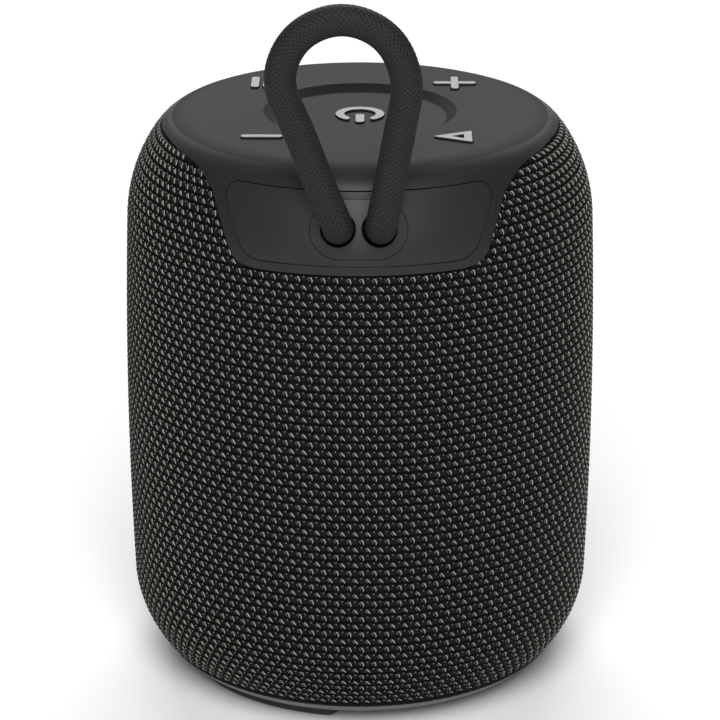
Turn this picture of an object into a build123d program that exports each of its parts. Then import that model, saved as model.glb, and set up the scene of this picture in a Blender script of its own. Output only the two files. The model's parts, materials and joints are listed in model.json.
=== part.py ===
"""Portable barrel speaker: cloth sleeve, soft top with raised keys, rear port cover and a rope carry loop.

Millimetres, +Z up, origin on the surface it stands on, below the middle of the barrel.
The rear, with the port cover and the carry loop, faces -Y. The sound driver faces +Y.
"""
import math
import os

from build123d import *

os.makedirs("parts", exist_ok=True)

# ---------------------------------------------------------------- driving dimensions
FOOT_H = 1.8            # rubber pads below the base
FOOT_OUT_R = 34.0
FOOT_IN_R = 29.0
BASE_PLATE_R = 33.4
BASE_PLATE_TOP_Z = 4.4
SEAM_Z = 106.8          # seam between the soft top cover and the hard cap
TOP_Z = 107.35          # flat top of the soft cover
COVER_R = 34.6          # soft cover, at the seam
BARREL_R = 44.0         # widest point of the barrel
CLOTH_LOW_Z = 4.0
CLOTH_HIGH_Z = 105.45
CLOTH_T = 0.8
SHELL_IN = 0.9          # outside of the hard shells, measured in from the cloth's face
SHELL_T = 1.5
CAP_LOW_Z = 84.0
CAP_WALL = 3.0
PLATE_TOP_Z = 103.6     # cap's deck under the soft cover
PLATE_T = 1.4
BASE_RING_TOP_Z = 9.0

# Barrel outline: arcs as (radius, height) start, middle, end, from the base up to the top seam
OUTLINE = [
    ((34.9, FOOT_H), (36.45, 2.75), (37.7, CLOTH_LOW_Z)),
    ((37.7, CLOTH_LOW_Z), (41.45, 9.8), (43.33, 16.5)),
    ((43.33, 16.5), (BARREL_R, 52.8), (43.24, 88.9)),
    ((43.24, 88.9), (41.54, 97.12), (38.35, 103.32)),
    ((38.35, 103.32), (36.55, 105.37), (COVER_R, SEAM_Z - 0.1)),
]

# Dish and keys in the soft cover
DISH_TOP_R = 17.8
DISH_FLOOR_R = 15.9
DISH_DEPTH = 1.2
KEY_PROUD = 0.38
NEAR_SHIFT = 1.25       # symbols of the two near keys, in front of their switches
CONTROL_POSTS = [(27.0, 0.0), (-27.0, 0.0), (0.0, 27.0), (0.0, -17.5)]
KEY_GAP = 0.12
KEY_TRAVEL = 0.35
STROKE = 1.55
FLANGE_TOP_Z = 104.9
FLANGE_T = 0.6
PLUNGER_R = 1.2
SWITCH_TOP_Z = 100.95
CONTROL_BOARD_Z = 97.6
CONTROL_BOARD_T = 1.2

# Rear apron, port cover and strap plate. Angles round the barrel count from -Y towards +X.
LEAN = 22.0             # degrees that the plate's normal looks up
PORT_TURN = 33.0        # direction in which each wing's edge walls run
PORT_TOP_Z = SEAM_Z - 2.95
PORT_LOW_Z = SEAM_Z - 15.28
PORT_TOP_ANGLE = 39.0
PORT_LOW_ANGLE = 27.7
PORT_T = 1.5
PORT_GAP = 0.15
WING_X = 11.5           # bend line between the port cover's middle and each wing
STRAP_PLATE_L = 17.0
STRAP_PLATE_W = 10.35
STRAP_PLATE_T = 1.9
STRAP_POINT = Vector(0, -41.2, SEAM_Z - 8.9)
ROPE_R = 2.80
ROPE_HOLE_R = 3.15
ROPE_X = 3.6
ROPE_PIVOT = 5.7        # from the plate's face to the point where the loop bends
NAIL_W = 12.0
NAIL_H = 1.5
NAIL_DEPTH = 0.45
PORT_Z = SEAM_Z - 9.0   # height of both sockets
PORT_ANGLE = 24.0
AUX_BORE_R = 1.8
AUX_BORE_L = 12.0
AUX_NOSE = 1.6
SOCKET_SET_BACK = 2.0   # from the cap's inner face to the jack's body
SOCKET_START = 28.0     # radius at which the sockets' planes stand

# Carry loop: route of its centre line in the plane through both pivots, (x, height above the seam)
CLAMP_FRONT = 5.6       # depths of the rope clamp below the strap plate's face
CLAMP_BACK = 10.2
CLAMP_SCREW = 4.5       # from the clamp's middle, up and down the lean
LOOP_ROUTE = [
    (-3.6, -6.77), (-6.5, 0.5), (-10.5, 11.5), (-14.1, 19.2), (-10.75, 27.25), (-2.75, 30.6),
    (5.25, 27.25), (8.7, 19.2), (7.1, 11.0), (5.35, 1.0), (3.6, -6.77),
]

# Sealed cabinet, driver (along Y) and passive radiators (along X)
TUB_R = 38.2
TUB_WALL = 2.2
TUB_LOW_Z = 6.0
TUB_TOP_Z = 82.0
GASKET_T = 0.6
LID_T = 2.4
AXIS_Z = 46.0
DUST_CAP_R = 10.72
DRIVER_SEAT_Y = 25.2
DRIVER_R = 26.0
DRIVER_HOLE_R = 23.2
PASSIVE_SEAT_X = 28.0
PASSIVE_R = 20.5
PASSIVE_HOLE_R = 17.8
SCREW_R = 1.25
HEAD_R = 2.3
HEAD_T = 1.4
BATTERY_R = 9.2
BATTERY_L = 65.2
BATTERY_Y = -22.0

NORMAL = Vector(0, -math.cos(math.radians(LEAN)), math.sin(math.radians(LEAN)))
SIDES = {"left": -1, "right": 1}


def save(solid, node):
    """Write one piece to parts/, and name it."""
    solid.label = node
    export_step(solid, f"parts/{node}.step")


def tube(outer, inner, low, high):
    """Upright ring from height low to height high."""
    ring = cylinder(outer, low, high)
    return ring - cylinder(inner, low - 1, high + 1) if inner > 0 else ring


def cylinder(radius, low, high, at=(0, 0)):
    """Upright cylinder between two heights."""
    return Pos(at[0], at[1], low) * Cylinder(
        radius, high - low, align=(Align.CENTER, Align.CENTER, Align.MIN))


def block(x, y, z):
    """Box from three (low, high) ranges."""
    return Pos((x[0] + x[1]) / 2, (y[0] + y[1]) / 2, (z[0] + z[1]) / 2) * Box(
        x[1] - x[0], y[1] - y[0], z[1] - z[0])


def arc_centre(arc):
    """Centre of the circle through an arc's three points."""
    (ax, ay), (bx, by), (cx, cy) = arc
    d = 2 * (ax * (by - cy) + bx * (cy - ay) + cx * (ay - by))
    a2, b2, c2 = ax * ax + ay * ay, bx * bx + by * by, cx * cx + cy * cy
    x = (a2 * (by - cy) + b2 * (cy - ay) + c2 * (ay - by)) / d
    y = (a2 * (cx - bx) + b2 * (ax - cx) + c2 * (bx - ax)) / d
    return x, y


def inward(arc, point):
    """Unit step from a point of the outline towards its arc's centre."""
    cx, cy = arc_centre(arc)
    length = math.hypot(cx - point[0], cy - point[1])
    return (cx - point[0]) / length, (cy - point[1]) / length


def inset_points(depth):
    """Outline's arcs moved in by a depth, joined where they meet."""
    joints = []
    for i in range(len(OUTLINE) + 1):
        meeting = [OUTLINE[k] for k in (i - 1, i) if 0 <= k < len(OUTLINE)]
        point = OUTLINE[i][0] if i < len(OUTLINE) else OUTLINE[-1][2]
        steps = [inward(arc, point) for arc in meeting]
        sx, sy = sum(s[0] for s in steps), sum(s[1] for s in steps)
        length = math.hypot(sx, sy)
        joints.append((point[0] + sx / length * depth, point[1] + sy / length * depth))
    arcs = []
    for i, arc in enumerate(OUTLINE):
        sx, sy = inward(arc, arc[1])
        arcs.append((joints[i], (arc[1][0] + sx * depth, arc[1][1] + sy * depth), joints[i + 1]))
    return arcs


def barrel(depth=0.0):
    """Whole barrel as one solid, smaller by a depth all over."""
    arcs = inset_points(depth)
    edges = [ThreePointArc(*[(r, z) for r, z in arc]) for arc in arcs]
    first, last = arcs[0][0], arcs[-1][2]
    edges += [Line(last, (0, last[1])), Line((0, last[1]), (0, first[1])), Line((0, first[1]), first)]
    face = Plane.XZ * make_face(Curve() + edges)
    return revolve(face, Axis.Z)


def radius_at(z):
    """Barrel's outer radius at a height."""
    arc = next(a for a in OUTLINE if a[0][1] <= z <= a[2][1])
    cx, cy = arc_centre(arc)
    radius = math.hypot(arc[0][0] - cx, arc[0][1] - cy)
    return cx + math.sqrt(radius ** 2 - (z - cy) ** 2)


def on_barrel(angle, z):
    """Point of the barrel's face at an angle from -Y towards +X."""
    r, a = radius_at(z), math.radians(angle)
    return Vector(r * math.sin(a), -r * math.cos(a), z)


def apron_prism():
    """Region of bare hard cap at the rear, as a prism along Y."""
    top = CLOTH_HIGH_Z
    right = [(18.2, -16.75), (22.05, -16.0), (25.7, -5.4), (28.4, -2.35), (34.5, top - SEAM_Z)]
    points = [(x, SEAM_Z + z) for x, z in right]
    left = [(-x, z) for x, z in reversed(points)]
    outline = Polyline(*points, (34.5, SEAM_Z + 6), (-34.5, SEAM_Z + 6), *left, close=True)
    face = make_face(outline)
    low = [v for v in face.vertices() if v.Y < SEAM_Z - 15.5 and abs(v.X) > 20]
    face = fillet(low, 3.5)
    flare = [v for v in face.vertices() if SEAM_Z - 2.6 < v.Y < SEAM_Z - 2.0]
    face = fillet(flare, 5.0)
    return extrude(Plane.XZ * face, amount=60)


def port_half(side, gap):
    """One half of the port cover's outline as a prism whose side walls run straight out of the barrel."""
    turn, lean = math.radians(PORT_TURN), math.radians(LEAN)
    out = Vector(math.sin(turn) * math.cos(lean), -math.cos(turn) * math.cos(lean), math.sin(lean))
    plane = Plane(origin=(0, 0, PORT_Z), x_dir=(math.cos(turn), math.sin(turn), 0), z_dir=out)

    def flat(angle, z):
        point = plane.to_local_coords(on_barrel(angle, z))
        return (point.X, point.Y)

    inner = -6.0
    top = ThreePointArc(flat(inner, PORT_TOP_Z), flat(PORT_TOP_ANGLE / 2, PORT_TOP_Z),
                        flat(PORT_TOP_ANGLE, PORT_TOP_Z))
    low = ThreePointArc(flat(PORT_LOW_ANGLE, PORT_LOW_Z), flat(PORT_LOW_ANGLE / 2, PORT_LOW_Z),
                        flat(inner, PORT_LOW_Z))
    face = make_face(Curve() + [top, Line(top @ 1, low @ 0), low, Line(low @ 1, top @ 0)])
    corners = face.vertices().sort_by(Axis.X)[-2:]
    upper, lower = sorted(corners, key=lambda v: -v.Y)
    face = fillet(upper, 2.2)
    lower = min(face.vertices().sort_by(Axis.X)[-3:], key=lambda v: v.Y)
    face = fillet(lower, 5.0)
    if gap:
        face = offset(face, amount=-gap)
    prism = extrude(plane * face, amount=70)
    half = prism & block((0, 60), (-70, 0), (80, 120))
    return half if side > 0 else mirror(half, Plane.YZ)


def port_opening(gap=0.0):
    """Region of the whole port cover."""
    return port_half(1, gap) + port_half(-1, gap)


def along_normal(distance):
    """Sketch plane square to the strap plate's normal, at a distance out of its face."""
    return Plane(origin=STRAP_POINT + NORMAL * distance, x_dir=(1, 0, 0), z_dir=NORMAL)


def rope_rods(radius, start, end):
    """Two rods along the strap plate's normal, one for each end of the rope."""
    rods = [along_normal(start) * Pos(side * ROPE_X, 0, 0) * Cylinder(
        radius, end - start, align=(Align.CENTER, Align.CENTER, Align.MIN)) for side in SIDES.values()]
    return rods[0] + rods[1]


def strap_plate_prism(gap=0.0):
    """Oval of the strap plate, running in and out of the barrel."""
    face = SlotOverall(STRAP_PLATE_L + 2 * gap, STRAP_PLATE_W + 2 * gap)
    return along_normal(-4) * extrude(face, amount=8)


def screw(plane, length):
    """Pan-head screw: its head stands on the plane, its shank runs the other way."""
    head = Cylinder(HEAD_R, HEAD_T, align=(Align.CENTER, Align.CENTER, Align.MIN))
    drive = Pos(0, 0, HEAD_T - 0.7) * extrude(RegularPolygon(1.0, 6), amount=1)
    shank = Cylinder(SCREW_R, length, align=(Align.CENTER, Align.CENTER, Align.MAX))
    return plane * (head - drive + shank)


def group(solids):
    """Separate solids kept in one piece's file."""
    return Compound(children=list(solids))


def spin(profile, plane):
    """Solid of revolution of a closed (radius, height) outline about a plane's normal."""
    face = Plane.XZ * make_face(Polyline(*profile, close=True))
    return plane * revolve(face, Axis.Z)


# ---------------------------------------------------------------- key symbols, as flat faces

def bar(width, height, x=0.0, y=0.0):
    """Round-cornered bar of a symbol."""
    return Pos(x, y) * RectangleRounded(width, height, min(width, height) * 0.38)


def symbol_power():
    """Open ring with a stick in its gap."""
    ring = Pos(0, 0.3) * (Circle(4.46) - Circle(4.46 - STROKE) - Pos(0, -3) * Rectangle(3.9, 6))
    ends = [v for v in ring.vertices() if v.Y < 0]
    return fillet(ends, 0.5) + bar(1.6, 5.0, 0, -2.5)


def symbol_plus():
    """Two crossed bars."""
    return bar(8.1, STROKE) + bar(STROKE, 8.1)


def symbol_minus():
    """One bar."""
    return bar(7.5, STROKE, 0, -NEAR_SHIFT)


def symbol_play():
    """Triangle that points to -X."""
    face = make_face(Polyline((-4.3, 0), (2.9, 3.5), (2.9, -3.5), close=True))
    return Pos(0, -NEAR_SHIFT) * fillet(face.vertices(), 0.3)


def symbol_mode():
    """Three level bars of uneven height."""
    return bar(1.5, 6.8, -2.25, 0.2) + bar(1.5, 4.2, 0, -1.1) + bar(1.5, 5.6, 2.25, -0.4)


# node: symbol, middle (x, y), flange radius, height of the cover's face round it
KEYS = {
    "key_power": (symbol_power, (0.0, 0.0), 6.2, TOP_Z - DISH_DEPTH),
    "key_volume_up": (symbol_plus, (17.75, 17.1), 5.2, TOP_Z),
    "key_volume_down": (symbol_minus, (-17.5, -16.5), 5.2, TOP_Z),
    "key_play": (symbol_play, (17.3, -16.55), 5.9, TOP_Z),
    "key_mode": (symbol_mode, (-17.6, 17.1), 5.2, TOP_Z),
}


def build_key(symbol, middle, flange_r, face_z):
    """Raised symbol, its hidden flange and the plunger that presses the switch."""
    raised = extrude(symbol(), amount=face_z + KEY_PROUD - FLANGE_TOP_Z)
    if symbol is symbol_play:
        inner = make_face(Polyline((-0.9, 0), (1.4, 1.25), (1.4, -1.25), close=True))
        raised -= Pos(0, -NEAR_SHIFT, face_z - 0.2 - FLANGE_TOP_Z) * extrude(inner, amount=2)
    rim = raised.faces().sort_by(Axis.Z)[-1].outer_wire().edges()
    if symbol is not symbol_power and symbol is not symbol_mode:
        raised = chamfer(rim, 0.1)
    flange = Cylinder(flange_r, FLANGE_T, align=(Align.CENTER, Align.CENTER, Align.MAX))
    plunger_l = FLANGE_TOP_Z - FLANGE_T - SWITCH_TOP_Z - KEY_TRAVEL - 0.1
    plunger = Pos(0, 0, -FLANGE_T) * Cylinder(
        PLUNGER_R, plunger_l, align=(Align.CENTER, Align.CENTER, Align.MAX))
    return Pos(middle[0], middle[1], FLANGE_TOP_Z) * (raised + flange + plunger)


def build_keys_and_cover():
    """Soft top cover with its dish, and the five keys that move through it."""
    profile = make_face(Curve() + [
        Line((0, PLATE_TOP_Z), (COVER_R, PLATE_TOP_Z)),
        Line((COVER_R, PLATE_TOP_Z), (COVER_R, SEAM_Z - 0.1)),
        ThreePointArc((COVER_R, SEAM_Z - 0.1), (33.2, 107.12), (31.0, TOP_Z)),
        Line((31.0, TOP_Z), (DISH_TOP_R, TOP_Z)),
        Line((DISH_TOP_R, TOP_Z), (DISH_FLOOR_R, TOP_Z - DISH_DEPTH)),
        Line((DISH_FLOOR_R, TOP_Z - DISH_DEPTH), (0, TOP_Z - DISH_DEPTH)),
        Line((0, TOP_Z - DISH_DEPTH), (0, PLATE_TOP_Z)),
    ])
    cover = revolve(Plane.XZ * profile, Axis.Z)
    for node, (symbol, middle, flange_r, face_z) in KEYS.items():
        opening = offset(symbol(), amount=KEY_GAP)
        cover -= Pos(middle[0], middle[1], PLATE_TOP_Z - 1) * extrude(opening, amount=6)
        cover -= cylinder(flange_r + 0.3, PLATE_TOP_Z - 1, FLANGE_TOP_Z + 0.1, middle)
        save(build_key(symbol, middle, flange_r, face_z), node)
    save(cover, "top_cover")


def build_cap():
    """Hard cap: rear apron, rim round the soft cover, deck, sockets' openings and rope holes."""
    top = block((-60, 60), (-60, 60), (CAP_LOW_Z, 130))
    bare = apron_prism() + block((-60, 60), (-60, 60), (CLOTH_HIGH_Z, 130))
    cap = (barrel(SHELL_IN) & top) + (barrel() & top & bare)
    cap -= cylinder(COVER_R, PLATE_TOP_Z, 130)
    cap -= barrel(CAP_WALL) & block((-60, 60), (-60, 60), (0, PLATE_TOP_Z - PLATE_T))
    shell = barrel() - barrel(PORT_T)
    cap -= port_opening() & shell
    cap -= strap_plate_prism() & (barrel() - barrel(STRAP_PLATE_T))
    cap -= rope_rods(ROPE_HOLE_R, -8, 6)
    cap -= socket_plane(-1) * extrude(SlotOverall(9.6, 3.9), amount=20)
    cap -= socket_plane(1) * extrude(Circle(2.9), amount=20)
    for _, (_, middle, _, _) in KEYS.items():
        cap -= cylinder(PLUNGER_R + 0.3, PLATE_TOP_Z - 3, PLATE_TOP_Z + 1, middle)
    board_top = CONTROL_BOARD_Z + CONTROL_BOARD_T
    for x, y in CONTROL_POSTS:
        post = cylinder(2.6, board_top, PLATE_TOP_Z - PLATE_T, (x, y))
        cap += post - cylinder(SCREW_R, board_top, board_top + 3, (x, y))
    for side in SIDES.values():
        post = along_normal(-CLAMP_FRONT) * Pos(0, side * CLAMP_SCREW, 0) * Cylinder(
            2.2, CLAMP_FRONT - CAP_WALL + 1.5, align=(Align.CENTER, Align.CENTER, Align.MIN))
        hole = along_normal(-CLAMP_FRONT) * Pos(0, side * CLAMP_SCREW, 0) * Cylinder(
            SCREW_R, 2.4, align=(Align.CENTER, Align.CENTER, Align.MIN))
        cap += post & barrel(CAP_WALL - 0.2)
        cap -= hole
    cap -= rope_rods(ROPE_HOLE_R, -8, 6)
    save(cap, "cap_shell")
    cloth = (barrel() - barrel(CLOTH_T)) & block((-60, 60), (-60, 60), (CLOTH_LOW_Z, CLOTH_HIGH_Z))
    save(cloth - apron_prism(), "fabric_sleeve")




def socket_plane(side):
    """Plane square to a socket's axis, inside the cap, looking out of the barrel."""
    a = math.radians(PORT_ANGLE) * side
    out = Vector(math.sin(a), -math.cos(a), 0)
    return Plane(origin=Vector(0, 0, PORT_Z) + out * SOCKET_START, x_dir=(math.cos(a), math.sin(a), 0), z_dir=out)


def build_port_cover():
    """Rubber port cover: a middle held by the strap plate, and two wings that bend open."""
    skin = (barrel() - barrel(PORT_T)) & port_opening(PORT_GAP)
    middle = skin & block((-WING_X, WING_X), (-60, 0), (80, 120))
    middle -= strap_plate_prism()
    nail = block((-NAIL_W / 2, NAIL_W / 2), (-60, 0), (PORT_TOP_Z - NAIL_H, PORT_TOP_Z + 1))
    middle -= nail - barrel(NAIL_DEPTH)
    save(middle, "port_cover")
    for name, side in SIDES.items():
        x = sorted((side * (WING_X + PORT_GAP), side * 60))
        save(skin & block(tuple(x), (-60, 0), (80, 120)), f"port_wing_{name}")
    plate = strap_plate_prism() & (barrel() - barrel(STRAP_PLATE_T))
    save(plate - rope_rods(ROPE_HOLE_R, -8, 6), "strap_plate")


def build_sockets():
    """USB-C receptacle on one side, 3.5 mm jack on the other, and the board that carries both."""
    face = radius_at(PORT_Z) - CAP_WALL - SOCKET_SET_BACK - SOCKET_START
    length = 7.3
    outer = SlotOverall(8.94, 3.26)
    inner = SlotOverall(8.34, 2.56)
    shell = extrude(outer, amount=length) - Pos(0, 0, 0.8) * extrude(inner, amount=length)
    tongue = Pos(0, 0, 0.8) * extrude(Rectangle(6.7, 0.7), amount=4.6)
    save(socket_plane(-1) * Pos(0, 0, face + 0.8 - length) * (shell + tongue), "usb_port")
    jack_l = AUX_BORE_L + 1.0
    body = extrude(RectangleRounded(6.4, 5.0, 0.4), amount=jack_l)
    nose = Pos(0, 0, jack_l) * Cylinder(2.7, AUX_NOSE, align=(Align.CENTER, Align.CENTER, Align.MIN))
    bore = Pos(0, 0, jack_l + AUX_NOSE - AUX_BORE_L) * Cylinder(
        AUX_BORE_R, AUX_BORE_L, align=(Align.CENTER, Align.CENTER, Align.MIN))
    save(socket_plane(1) * Pos(0, 0, face - jack_l) * (body + nose - bore), "aux_jack")
    top = PORT_Z - 2.5
    board = cylinder(36.0, top - 1.2, top) & block((-40, 40), (-36, -12), (0, 120))
    board -= block((-13.2, 13.2), (-40, -25.5), (0, 120))
    save(board, "port_board")


def build_rope():
    """Carry loop, its two ends inside the cap, and the clamp that holds them."""
    pivot = STRAP_POINT + NORMAL * ROPE_PIVOT
    points = [Vector(x, pivot.Y, SEAM_Z + z) for x, z in LOOP_ROUTE]
    radii = []
    for before, here, after in zip(points, points[1:], points[2:]):
        turn = math.radians((here - before).get_angle(after - here))
        run = min((here - before).length, (after - here).length)
        radii.append(0.45 * run / math.tan(turn / 2))
    print("carry loop arc radii", [round(r, 1) for r in radii])
    path = FilletPolyline(*points, radius=radii)
    print("carry loop length", round(path.length, 1))
    start = Plane(origin=path @ 0, z_dir=path % 0)
    loop = sweep(start * Circle(ROPE_R), path=path)
    loop += Pos(path @ 0) * Sphere(ROPE_R)
    loop += Pos(path @ 1) * Sphere(ROPE_R)
    save(loop, "carry_loop")
    for name, side in SIDES.items():
        length = CLAMP_BACK + 1.5 + ROPE_PIVOT - ROPE_R - 0.3
        rod = along_normal(-CLAMP_BACK - 1.5) * Pos(side * ROPE_X, 0, 0) * Cylinder(
            ROPE_R, length, align=(Align.CENTER, Align.CENTER, Align.MIN))
        save(rod, f"loop_end_{name}")
    thick = CLAMP_BACK - CLAMP_FRONT
    bar_face = SlotOverall(15.0, 8.0) + Rot(0, 0, 90) * SlotOverall(2 * CLAMP_SCREW + 4.4, 4.4)
    for side in SIDES.values():
        bar_face -= Pos(side * ROPE_X, 0) * Circle(ROPE_R)
        bar_face -= Pos(0, side * CLAMP_SCREW) * Circle(SCREW_R)
    save(along_normal(-CLAMP_BACK) * extrude(bar_face, amount=thick), "rope_clamp")
    back = Plane(origin=STRAP_POINT - NORMAL * CLAMP_BACK, x_dir=(1, 0, 0), z_dir=NORMAL * -1)
    screws = [screw(back * Pos(0, side * CLAMP_SCREW, 0), thick + 2.2) for side in SIDES.values()]
    save(group(screws), "clamp_screws")


def build_controls():
    """Control board under the deck, with its switches and screws."""
    top = CONTROL_BOARD_Z + CONTROL_BOARD_T
    board = cylinder(30.0, CONTROL_BOARD_Z, top) & block((-40, 40), (-19.3, 40), (0, 120))
    for post in CONTROL_POSTS:
        board -= cylinder(SCREW_R, CONTROL_BOARD_Z - 1, top + 1, post)
    save(board, "control_board")
    switches = []
    for _, middle, _, _ in KEYS.values():
        x, y = middle
        body = block((x - 2.6, x + 2.6), (y - 2.6, y + 2.6), (top, SWITCH_TOP_Z - 0.7))
        switches.append(body + cylinder(1.5, SWITCH_TOP_Z - 0.7, SWITCH_TOP_Z, middle))
    save(group(switches), "tact_switches")
    down = [screw(Plane(origin=(x, y, CONTROL_BOARD_Z), z_dir=(0, 0, -1)), CONTROL_BOARD_T + 2.6)
            for x, y in CONTROL_POSTS]
    save(group(down), "control_board_screws")


def build_base():
    """Base ring, base plate, rubber feet and base screws."""
    whole = (-60, 60)
    ring = barrel() & block(whole, whole, (0, CLOTH_LOW_Z))
    ring += barrel(SHELL_IN) & block(whole, whole, (CLOTH_LOW_Z, BASE_RING_TOP_Z))
    ring -= cylinder(BASE_PLATE_R + 0.1, 0, BASE_PLATE_TOP_Z)
    ring -= cylinder(BASE_PLATE_R - 1.2, BASE_PLATE_TOP_Z, 20)
    ring -= barrel(3.3) & block(whole, whole, (5.4, 20))
    save(ring, "base_ring")
    plate = cylinder(BASE_PLATE_R, FOOT_H, BASE_PLATE_TOP_Z)
    screw_at = [(20 * math.cos(math.radians(a)), 20 * math.sin(math.radians(a))) for a in (90, 210, 330)]
    for at in screw_at:
        plate -= cylinder(HEAD_R + 0.2, 0, FOOT_H + HEAD_T + 0.1, at)
        plate -= cylinder(SCREW_R, 0, 10, at)
    save(plate, "base_plate")
    screws = [screw(Plane(origin=(x, y, FOOT_H + HEAD_T + 0.1), z_dir=(0, 0, -1)), 5.0)
              for x, y in screw_at]
    save(group(screws), "base_screws")
    feet = []
    for centre in (-125, -5, 115):
        pad = tube(FOOT_OUT_R, FOOT_IN_R, 0, FOOT_H)
        wedge = [(0, 0)]
        for a in (centre - 28, centre + 28):
            wedge.append((50 * math.cos(math.radians(a)), 50 * math.sin(math.radians(a))))
        keep = Pos(0, 0, -1) * extrude(make_face(Polyline(*wedge, close=True)), amount=5)
        pad = pad & keep
        pad = fillet(pad.edges().filter_by(Axis.Z), 2.0)
        feet.append(fillet(pad.faces().sort_by(Axis.Z)[0].edges(), 0.6))
    save(group(feet), "feet")
    return screw_at


def build_grille():
    """Hard shell behind the cloth, with slots for the sound."""
    whole = (-60, 60)
    shell = (barrel(SHELL_IN) - barrel(SHELL_IN + SHELL_T)) & block(whole, whole, (BASE_RING_TOP_Z, CAP_LOW_Z))
    columns = 18
    cutters = []
    for row in range(3):
        z = 22.0 + row * 24.0
        for i in range(columns):
            cutter = Pos(0, 0, z) * Rot(0, 0, 360 / columns * (i + 0.5)) * Pos(42, 0, 0) * Box(9, 5.0, 18.0)
            cutters.append(cutter)
    save(shell - cutters, "grille_shell")


def driver_plane():
    """Driver's own plane: origin on its axis, normal out of the front."""
    return Plane(origin=(0, 0, AXIS_Z), x_dir=(1, 0, 0), z_dir=(0, 1, 0))


def passive_plane(side):
    """Passive radiator's own plane: origin on its axis, normal out of the side."""
    return Plane(origin=(0, 0, AXIS_Z), x_dir=(0, 1, 0), z_dir=(side, 0, 0))


def rod(plane, radius, low, high):
    """Cylinder along a plane's normal."""
    return plane * Pos(0, 0, low) * Cylinder(
        radius, high - low, align=(Align.CENTER, Align.CENTER, Align.MIN))


DRIVER_SCREWS = [(24.0 * math.cos(math.radians(a)), 24.0 * math.sin(math.radians(a))) for a in (45, 135, 225, 315)]
LID_SCREWS = [(33.4 * math.cos(math.radians(a)), 33.4 * math.sin(math.radians(a))) for a in (45, 135, 225, 315)]
BOARD_SCREWS = [(24.0 * math.cos(math.radians(a)), 24.0 * math.sin(math.radians(a))) for a in (0, 90, 180, 270)]


def build_cabinet(base_screws_at):
    """Sealed tub with seats for the driver and the passive radiators, its gasket, lid and screws."""
    inside = barrel(3.7)
    outer = cylinder(TUB_R, TUB_LOW_Z, TUB_TOP_Z) & inside
    cavity = cylinder(TUB_R - TUB_WALL, TUB_LOW_Z + TUB_WALL, TUB_TOP_Z + 1) & barrel(3.7 + TUB_WALL + 0.2)
    top_cut = cylinder(TUB_R - TUB_WALL, TUB_TOP_Z - 30, TUB_TOP_Z + 1)
    tub = outer - cavity - top_cut
    fill = outer & rod(driver_plane(), DRIVER_R + 3, DRIVER_SEAT_Y - 2.4, 45)
    for side in SIDES.values():
        fill += outer & rod(passive_plane(side), PASSIVE_R + 2.6, PASSIVE_SEAT_X - 2.4, 45)
    tub += fill
    for x, y in LID_SCREWS:
        tub += cylinder(3.2, TUB_TOP_Z - 7, TUB_TOP_Z, (x, y)) & outer
    tub -= rod(driver_plane(), DRIVER_R + 0.5, DRIVER_SEAT_Y, 60)
    tub -= rod(driver_plane(), DRIVER_HOLE_R, 15, 60)
    for x, y in DRIVER_SCREWS:
        tub -= rod(Plane(origin=(x, 0, AXIS_Z + y), x_dir=(1, 0, 0), z_dir=(0, 1, 0)), SCREW_R,
                   DRIVER_SEAT_Y - 2.0, 60)
    for side in SIDES.values():
        tub -= rod(passive_plane(side), PASSIVE_R + 0.3, PASSIVE_SEAT_X, 60)
        tub -= rod(passive_plane(side), PASSIVE_HOLE_R, 20, 60)
    for x, y in base_screws_at:
        tub += cylinder(3.4, 4.4, TUB_LOW_Z + 3, (x, y))
        tub -= cylinder(SCREW_R, 4, 8.5, (x, y))
    for at in LID_SCREWS:
        tub -= cylinder(SCREW_R, TUB_TOP_Z - 5, TUB_TOP_Z + 1, at)
    save(tub, "cabinet_tub")
    gasket = tube(TUB_R, TUB_R - TUB_WALL, TUB_TOP_Z, TUB_TOP_Z + GASKET_T)
    save(gasket, "lid_gasket")
    low, high = TUB_TOP_Z + GASKET_T, TUB_TOP_Z + GASKET_T + LID_T
    lid = cylinder(TUB_R, low, high)
    for at in LID_SCREWS:
        lid -= cylinder(SCREW_R, low - 1, high + 1, at)
    board_z = high + 3.0
    for at in BOARD_SCREWS:
        lid += cylinder(2.8, high, board_z, at)
        lid -= cylinder(SCREW_R, high, board_z + 1, at)
    save(lid, "cabinet_lid")
    reach = LID_T + GASKET_T + 4.4
    save(group(screw(Plane(origin=(x, y, high)), reach) for x, y in LID_SCREWS), "lid_screws")
    board = cylinder(30.5, board_z, board_z + 1.6)
    for at in BOARD_SCREWS:
        board -= cylinder(SCREW_R, board_z - 1, board_z + 2, at)
    save(board, "main_board")
    save(group(screw(Plane(origin=(x, y, board_z + 1.6)), 4.2) for x, y in BOARD_SCREWS), "main_board_screws")
    top = board_z + 1.6
    chips = [((-14, -4), (4, 14), 1.2), ((2, 10), (6, 14), 1.0), ((-4, 2), (-12, -6), 2.4),
             ((6, 12), (-12, -6), 2.4), ((-20, -13), (-8, -2), 3.2), ((14, 20), (-3, 3), 1.6)]
    parts = [fillet(block(x, y, (top, top + h)).faces().sort_by(Axis.Z)[-1].edges(), 0.2) for x, y, h in chips]
    save(group(parts), "board_components")


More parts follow.
